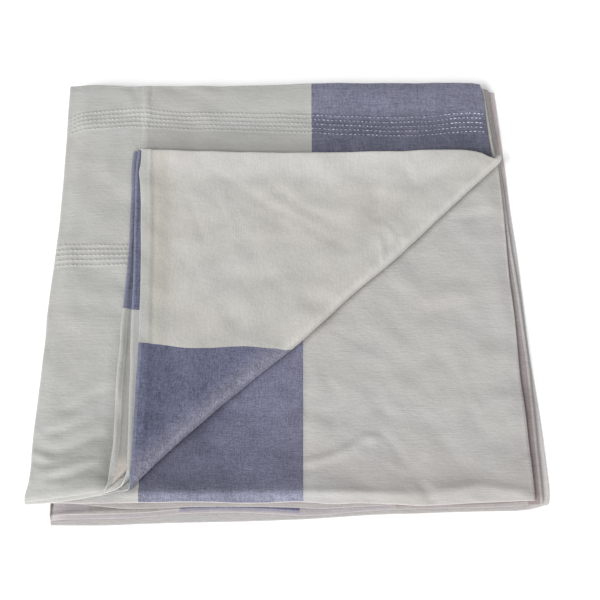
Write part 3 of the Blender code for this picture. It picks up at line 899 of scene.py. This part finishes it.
class Paint:
    """Node tree of one material."""

    def __init__(self, name):
        self.material = bpy.data.materials.new(name)
        self.material.use_nodes = True
        self.nodes = self.material.node_tree.nodes
        self.links = self.material.node_tree.links

    def fill(self, node, values):
        """Sets or links inputs of a node, by name or place."""
        for key, value in values.items():
            socket = node.inputs[key]
            if isinstance(value, (float, tuple)):
                socket.default_value = value + (1.0,) if socket.type == "RGBA" else value
            else:
                self.links.new(value, socket)

    def step(self, kind, result, values, **settings):
        """Result of a new node with some settings and inputs."""
        node = self.nodes.new("ShaderNode" + kind)
        for key, value in settings.items():
            setattr(node, key, value)
        self.fill(node, values)
        return node.outputs[result]

    def surface(self, values):
        """Sets or links inputs of the surface; returns the material."""
        self.fill(self.nodes["Principled BSDF"], values)
        return self.material

    def noise(self, counts, detail, roughness):
        """Noise with features of the given counts per metre along x, y and z."""
        place = self.step("VectorMath", "Vector", {0: self.place, 1: counts}, operation="MULTIPLY")
        return self.step("TexNoise", "Fac", {"Vector": place, "Scale": 1.0, "Detail": detail,
                                             "Roughness": roughness})

    def mix(self, factor, one, other, way="MIX"):
        """Blend of two colours."""
        return self.step("Mix", "Result", {"Factor": factor, "A": one, "B": other},
                         data_type="RGBA", blend_type=way)

    def ramp(self, value, low, high):
        """Stretches a range to 0 to 1."""
        return self.step("MapRange", "Result", {"Value": value, "From Min": low, "From Max": high})

    def add(self, one, other, share):
        """One plus a share of the other."""
        return self.step("Math", "Value", {0: other, 1: share, 2: one}, operation="MULTIPLY_ADD")

    def within(self, spans):
        """Share that rises from 0 to 1 over all of some spans."""
        share = None
        for way, start, stop in spans:
            reach = self.step("VectorMath", "Value", {0: self.place, 1: way}, operation="DOT_PRODUCT")
            rise = self.ramp(reach, start, stop)
            if share is None:
                share = rise
            else:
                share = self.step("Math", "Value", {0: share, 1: rise}, operation="MULTIPLY")
        return share


# Noises of the cloth: features per metre along x, y and z, detail, roughness
WEFT = ((90, 900, 90), 3.0, 0.6)
WARP = ((900, 90, 90), 3.0, 0.6)
FINE = ((2600, 2600, 2600), 1.0, 0.5)
SLUBS = ((30, 640, 30), 2.0, 0.5)
PATCHES = ((38, 46, 40), 4.0, 0.6)
TINTS = ((9, 11, 9), 2.0, 0.5)
GRAINS = ((660, 780, 660), 1.0, 0.5)
PUCKERS = ((210, 260, 210), 4.0, 0.62)
TWIST = ((700, 700, 700), 2.0, 0.5)

# Ranges of the noises, and shares in the colour and the relief
THREAD_RANGE = 0.17
PATCH_RANGE = (0.34, 0.68)
TINT_RANGE = (0.35, 0.65)
GRAIN_RANGE = (0.3, 0.7)
THICK_RANGE = (0.58, 0.82)
THIN_RANGE = (0.38, 0.18)
MOTTLE = 0.03
GRAIN_MOTTLE = 0.3
COOL, WARM = -0.03, 0.035
FINE_RISE = 0.5
PUCKER_RISE = 2.2
SLUB_RISE = 0.8


def fabric(name, colour, weave, *fades):
    """Woven cotton: threads, slubs, mottling and a puckered surface, with any fades of painted shade and
    painted light tinted over it.
    """
    paint = Paint(name)
    paint.place = paint.step("Attribute", "Vector", {}, attribute_name="cloth_place")

    def shade(level, warm=0.0):
        return tuple(min(1.0, c * (1.0 + level + w * warm)) for c, w in zip(colour, (1.0, 0.0, -1.0)))

    def between(value, ends, low, high):
        return paint.mix(paint.ramp(value, *ends), low, high)

    threads = paint.add(paint.noise(*WEFT), paint.noise(*WARP), weave.flecks)
    slubs = paint.noise(*SLUBS)
    middle = 0.5 + 0.5 * weave.flecks
    mottle = MOTTLE + GRAIN_MOTTLE * weave.grain
    woven = between(threads, (middle - THREAD_RANGE, middle + THREAD_RANGE),
                    shade(-weave.contrast), shade(weave.contrast))
    mottled = between(paint.noise(*PATCHES), PATCH_RANGE, shade(-mottle), shade(mottle))
    tinted = between(paint.noise(*TINTS), TINT_RANGE, shade(0.0, COOL), shade(0.0, WARM))
    grainy = between(paint.noise(*GRAINS), GRAIN_RANGE, shade(-weave.grain), shade(weave.grain))
    cloth = paint.mix(0.5, paint.mix(0.5, woven, grainy), paint.mix(0.5, mottled, tinted))
    cloth = between(slubs, THICK_RANGE, cloth, shade(weave.slub))
    cloth = between(slubs, THIN_RANGE, cloth, shade(-weave.slub))
    for tint, *spans in fades:
        cloth = paint.mix(paint.within(spans), cloth, tint, "MULTIPLY")
    rise = paint.add(threads, paint.noise(*FINE), FINE_RISE)
    rise = paint.add(rise, paint.noise(*PUCKERS), PUCKER_RISE)
    rise = paint.add(rise, slubs, SLUB_RISE)
    bump = paint.step("Bump", "Normal", {"Strength": 0.6, "Distance": 0.0003, "Height": rise})
    return paint.surface({"Base Color": cloth, "Normal": bump, "Roughness": weave.rough,
                          "Sheen Weight": 0.12, "Specular IOR Level": 0.2})


def thread_paint(name, dark, light):
    """Twisted stitching thread."""
    paint = Paint(name)
    paint.place = paint.step("TexCoord", "Object", {})
    colour = paint.mix(paint.noise(*TWIST), dark, light)
    return paint.surface({"Base Color": colour, "Roughness": 0.7, "Sheen Weight": 0.2})


def under(tree, x, y):
    """The cloth straight under a place, in millimetres, and its normal."""
    above = Vector((x * MM, y * MM, LOOK_FROM * MM))
    hit, normal, face, gap = tree.ray_cast(above, Vector((0.0, 0.0, -1.0)))
    return (None, None) if hit is None else (hit / MM, normal)


def stitch_path(tree, band, row, start, size, sway):
    """Places and normals of one stitch on the cloth; none where that is too low or too high."""
    path = []
    half = (RINGS - 1) / 2.0
    for k in range(RINGS):
        x = start + size * k / (RINGS - 1)
        y = float(curve_of(band.middle, x) + row * curve_of(band.gap, x)) + sway * (k - half) / half
        point, normal = under(tree, x, y)
        if point is None or not STITCH_LOW < point.z < STITCH_HIGH:
            return []
        path.append((point, normal))
    return path


def stitch_rings(path, width, height):
    """Rings of one stitch, which dips into the cloth at both ends."""
    rings = []
    for k, (point, normal) in enumerate(path):
        ahead = path[min(k + 1, len(path) - 1)][0] - path[max(k - 1, 0)][0]
        side = normal.cross(ahead).normalized()
        middle = point + normal * RING_LIFTS[k]
        ring = []
        for corner in range(RING_SIDES):
            angle = 2.0 * math.pi * corner / RING_SIDES
            ring.append(middle + side * (width * RING_SIZES[k] * math.cos(angle))
                        + normal * (height * RING_SIZES[k] * math.sin(angle)))
        rings.append(ring)
    return rings


def add_stitch(verts, faces, rings):
    """Adds the closed tube of one stitch to a mesh."""
    first = len(verts)
    last = first + RING_SIDES * (len(rings) - 1)
    for ring in rings:
        verts += [tuple(point * MM) for point in ring]
    for start in range(first, last, RING_SIDES):
        for corner in range(RING_SIDES):
            a = start + corner
            b = start + (corner + 1) % RING_SIDES
            faces.append((a, b, b + RING_SIDES, a + RING_SIDES))
    faces.append(tuple(reversed(range(first, first + RING_SIDES))))
    faces.append(tuple(range(last, last + RING_SIDES)))


def sew_rows(name, tree, materials):
    """One mesh of all the running stitches."""
    verts, faces, shades = [], [], []
    rng = random.Random(STITCH_SEED)
    for band in BANDS:
        for row in range(-(BAND_ROWS // 2), BAND_ROWS // 2 + 1):
            place = band.first + rng.uniform(0.0, STITCH_PITCH)
            while place < band.last - STITCH_LENGTH:
                size = STITCH_LENGTH * rng.uniform(*STITCH_LENGTHS)
                sway = rng.uniform(-STITCH_SWAY, STITCH_SWAY)
                path = stitch_path(tree, band, row, place, size, sway)
                if path:
                    width = STITCH_WIDTH * rng.uniform(*STITCH_WIDTHS)
                    add_stitch(verts, faces, stitch_rings(path, width, width * STITCH_FLAT))
                    shade = rng.choice(THREADS_END if place > RIGHT_END else THREADS_BLUE)
                    if place <= STRIP_TOP.x:
                        shade = THREAD_PALE
                    shades += [shade] * (len(faces) - len(shades))
                place += STITCH_PITCH * rng.uniform(*STITCH_PITCHES)
    return new_piece(name, verts, faces, shades, materials)


def tree_of(piece):
    """Search tree of a piece's faces."""
    mesh = bmesh.new()
    mesh.from_mesh(piece.data)
    tree = BVHTree.FromBMesh(mesh)
    mesh.free()
    return tree


# Weaves: contrast of the threads, grain, roughness, share of the warp, contrast of the slubs
Weave = namedtuple("Weave", "contrast grain rough flecks slub")
PLAIN = Weave(0.16, 0.06, 0.92, 0.4, 0.08)
INSIDE = Weave(0.24, 0.2, 0.94, 0.5, 0.15)
SOFT = Weave(0.2, 0.1, 0.94, 0.4, 0.1)
CHAMBRAY = Weave(0.8, 1.1, 0.88, 1.0, 0.2)

# Directions on the cloth
ALONG = (1.0, 0.0, 0.0)
AWAY = (0.0, 1.0, 0.0)
ACROSS_FOLD = (*TURN_ACROSS, 0.0)
ALONG_FOLD = (*TURN_ALONG, 0.0)
ACROSS_PATCH = (0.7, 0.7, 0.0)
BESIDE_HEM = (0.1, 1.0, 0.0)

# Fades, mostly painted shade and painted light: tint, then the spans over all of which it comes in, as
# direction and two places in metres
UNDER_STRIP = (ALONG, -0.16, -0.166)
ON_FLAP = (ACROSS_FOLD, 0.09, 0.1)
# Painted shade that darkens the right-hand edges towards the front
SHADE_TO_FRONT = (AWAY, -0.04, -0.14)
PALE_PAINTED_SHADES = (
    # Painted shadow on the top ply beside the strips' left edge
    ((0.82, 0.82, 0.82), (ALONG, -0.19, -0.18), (AWAY, -0.04, -0.15), UNDER_STRIP),
    # Broader painted shadow there towards the front
    ((0.76, 0.75, 0.74),
     (ALONG, -0.228, -0.186), (AWAY, -0.15, -0.21), (AWAY, -0.236, -0.222), UNDER_STRIP),
    # Painted shade among the stitches of the pale part of the back band
    ((0.95, 0.95, 0.95), (ALONG, -0.18, -0.14), (AWAY, 0.184, 0.19), (AWAY, 0.226, 0.219)),
    # Painted shadow behind the turned corner's back edge
    ((0.86, 0.85, 0.84), (ALONG, -0.178, -0.15), (AWAY, 0.21, 0.172), (AWAY, 0.14, 0.15)),
)
CREAM_FADES = (
    # Painted shade in the hollow beside the hem of the turned corner
    ((0.91, 0.91, 0.88), (BESIDE_HEM, -0.234, -0.23), (BESIDE_HEM, -0.206, -0.214), ON_FLAP),
    # Painted highlight along the turned corner's back edge
    ((1.07, 1.07, 1.09), (ALONG, 0.2, 0.216), ON_FLAP),
)
BLUE_FADES = (
    # Painted highlight along the roll of the diagonal fold
    ((1.46, 1.4, 1.2), (ACROSS_FOLD, 0.084, 0.066)),
    # Painted shade in the hollow beside the hem
    ((0.84, 0.84, 0.85),
     (BESIDE_HEM, -0.236, -0.23), (BESIDE_HEM, -0.198, -0.21), (ACROSS_FOLD, 0.07, 0.09)),
)
GREY_PAINTED_LIGHT = (
    # Painted light at the back, where the plies above shade the lining
    ((1.22, 1.12, 1.14), (AWAY, 0.13, 0.15)),
    # Painted light on the bottom ply's right rim
    ((1.22, 1.22, 1.22), (ALONG, 0.236, 0.246), (AWAY, 0.12, 0.08)),
)
LOWER_FADES = (
    # Painted shade in the trough behind the front edge
    ((0.94, 0.93, 0.93), (AWAY, -0.18, -0.2)),
    # Painted highlight on the front edge
    ((1.02, 1.02, 1.02), (AWAY, -0.23, -0.238)),
)
PATCH_FADES = (
    # Darker towards the front
    ((0.78, 0.78, 0.78), (AWAY, -0.13, -0.2)),
    # Painted shadow in the corner by the diagonal fold
    ((0.84, 0.84, 0.85), (ACROSS_PATCH, -0.17, -0.215)),
    # Painted shadow under the raised fold
    ((0.62, 0.62, 0.64),
     (ACROSS_FOLD, 0.08, 0.062), (ALONG_FOLD, -0.215, -0.185), (ALONG_FOLD, -0.135, -0.155)),
    # Painted highlight and sheen on the front edge
    ((1.75, 1.75, 1.6), (AWAY, -0.224, -0.238)),
)
# Blue of the back strip, darker from the stitched band forward: painted shade among the stitches and behind
# the turned corner
BACK_PAINTED_SHADE = ((0.68, 0.68, 0.7), (AWAY, 0.226, 0.206))
# Painted light on the left end of the fold, which lies in shade
MAUVE_PAINTED_LIGHT = ((1.4, 1.4, 1.4), (ALONG, -0.218, -0.238))
# Less of that painted shade at the strips' front end, where they roll over
HEM_FADE = ((1.5, 1.42, 1.4), (ALONG, -0.137, -0.149))

CLOTHS = (
    fabric("pale_cotton", (0.425, 0.424, 0.406), PLAIN, *PALE_PAINTED_SHADES),
    fabric("cream_cotton", (0.465, 0.455, 0.43), PLAIN._replace(slub=0.06), *CREAM_FADES),
    fabric("blue_chambray", (0.119, 0.124, 0.189), CHAMBRAY, *BLUE_FADES),
    fabric("inner_cotton", (0.33, 0.305, 0.3), INSIDE),
    fabric("blue_back", (0.168, 0.172, 0.235), CHAMBRAY._replace(contrast=0.75, grain=1.0), BACK_PAINTED_SHADE),
    fabric("lining_pink", (0.43, 0.4, 0.4), SOFT),
    # Inner cotton darkened: painted shade under the overhanging plies
    fabric("inner_painted_shade", (0.255, 0.228, 0.218), INSIDE),
    fabric("lining_grey", (0.455, 0.44, 0.435), SOFT, *GREY_PAINTED_LIGHT),
    fabric("lining_blue", (0.27, 0.255, 0.31), Weave(0.3, 0.4, 0.94, 0.5, 0.1)),
    fabric("pale_cotton_lower", (0.432, 0.424, 0.41), PLAIN._replace(slub=0.07), *LOWER_FADES),
    fabric("blue_patch", (0.165, 0.168, 0.24), CHAMBRAY._replace(contrast=0.7, grain=1.0), *PATCH_FADES),
    fabric("lining_mauve", (0.355, 0.325, 0.335), SOFT._replace(grain=0.2), MAUVE_PAINTED_LIGHT),
    # Pale cotton darkened beyond the strip's hem: painted shade under the next strip
    fabric("hem_painted_shade", (0.29, 0.282, 0.262), SOFT._replace(grain=0.15), HEM_FADE),
    fabric("blue_hem", (0.17, 0.178, 0.245), Weave(0.55, 0.7, 0.88, 1.0, 0.15)),
    # Inner cotton at the right, darker towards the front: painted shade under the upper plies' edges
    fabric("inner_right", (0.335, 0.308, 0.3), INSIDE, ((0.74, 0.68, 0.7), SHADE_TO_FRONT)),
    # Fold rims painted light, darker towards the front as painted shade
    fabric("fold_rim_painted_light", (0.48, 0.46, 0.45), INSIDE, ((0.77, 0.74, 0.74), SHADE_TO_FRONT)),
    # Pale cotton of the lower strip, darker: painted shade
    fabric("strip_cotton_painted_shade", (0.39, 0.39, 0.377), PLAIN),
)
THREADS = (
    thread_paint("cream_thread", (0.37, 0.37, 0.35), (0.47, 0.47, 0.45)),
    thread_paint("blue_thread_dim", (0.2, 0.21, 0.28), (0.3, 0.31, 0.4)),
    thread_paint("blue_thread", (0.3, 0.32, 0.42), (0.42, 0.44, 0.54)),
    thread_paint("white_thread", (0.42, 0.44, 0.56), (0.58, 0.6, 0.7)),
)

upper = build_layer("duvet_cover_upper_layer", UPPER_PLIES, BANDS, UPPER_STEP, True, CLOTHS)
lower = build_layer("duvet_cover_lower_layer", LOWER_PLIES, (), LOWER_STEP, False, CLOTHS)
running = sew_rows("running_stitches", tree_of(upper), THREADS)

for piece in (upper, lower):
    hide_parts("duvet_cover")
for piece in (upper, lower, running):
    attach(piece, "root")


def lay_floor():
    """Plain pale floor just under the pack."""
    paint = Paint("floor").surface({
        "Base Color": (0.97, 0.97, 0.97), "Roughness": 0.9,
        "Emission Color": (1.0, 1.0, 1.0), "Emission Strength": 0.12,
    })
    half, level = 4.0, -0.0005
    corners = [(x * half, y * half, level) for x, y in ((-1, -1), (1, -1), (1, 1), (-1, 1))]
    return new_piece("floor", corners, [(0, 1, 2, 3)], [0], [paint])


def light_studio():
    """Even white surroundings and the soft lamps."""
    world = bpy.data.worlds.new("studio")
    world.use_nodes = True
    inputs = world.node_tree.nodes["Background"].inputs
    inputs["Color"].default_value = (1.0, 1.0, 1.0, 1.0)
    inputs["Strength"].default_value = AMBIENT
    scene.world = world
    for name, share, rise, turn, blur in LAMPS:
        rise, turn = math.radians(rise), math.radians(turn)
        data = bpy.data.lights.new(name, "SUN")
        data.angle = math.radians(blur)
        data.energy = share * math.pi / math.sin(rise)
        lamp = bpy.data.objects.new(name, data)
        lamp.location = (math.cos(turn), math.sin(turn), math.tan(rise))
        lamp.rotation_euler = lamp.location.to_track_quat("Z", "Y").to_euler()
        scene.collection.objects.link(lamp)


def set_camera():
    """Camera where the photo was taken from."""
    data = bpy.data.cameras.new("camera")
    data.sensor_width = 36.0
    data.lens = 60.0
    data.clip_start = 0.05
    data.clip_end = 20.0
    camera = bpy.data.objects.new("camera", data)
    camera.location = (0.0122, -0.488, 0.989)
    camera.rotation_euler = (math.radians(25.5), 0.0, 0.0)
    scene.collection.objects.link(camera)
    scene.camera = camera


lay_floor()
light_studio()
set_camera()
scene.view_settings.view_transform = "Standard"
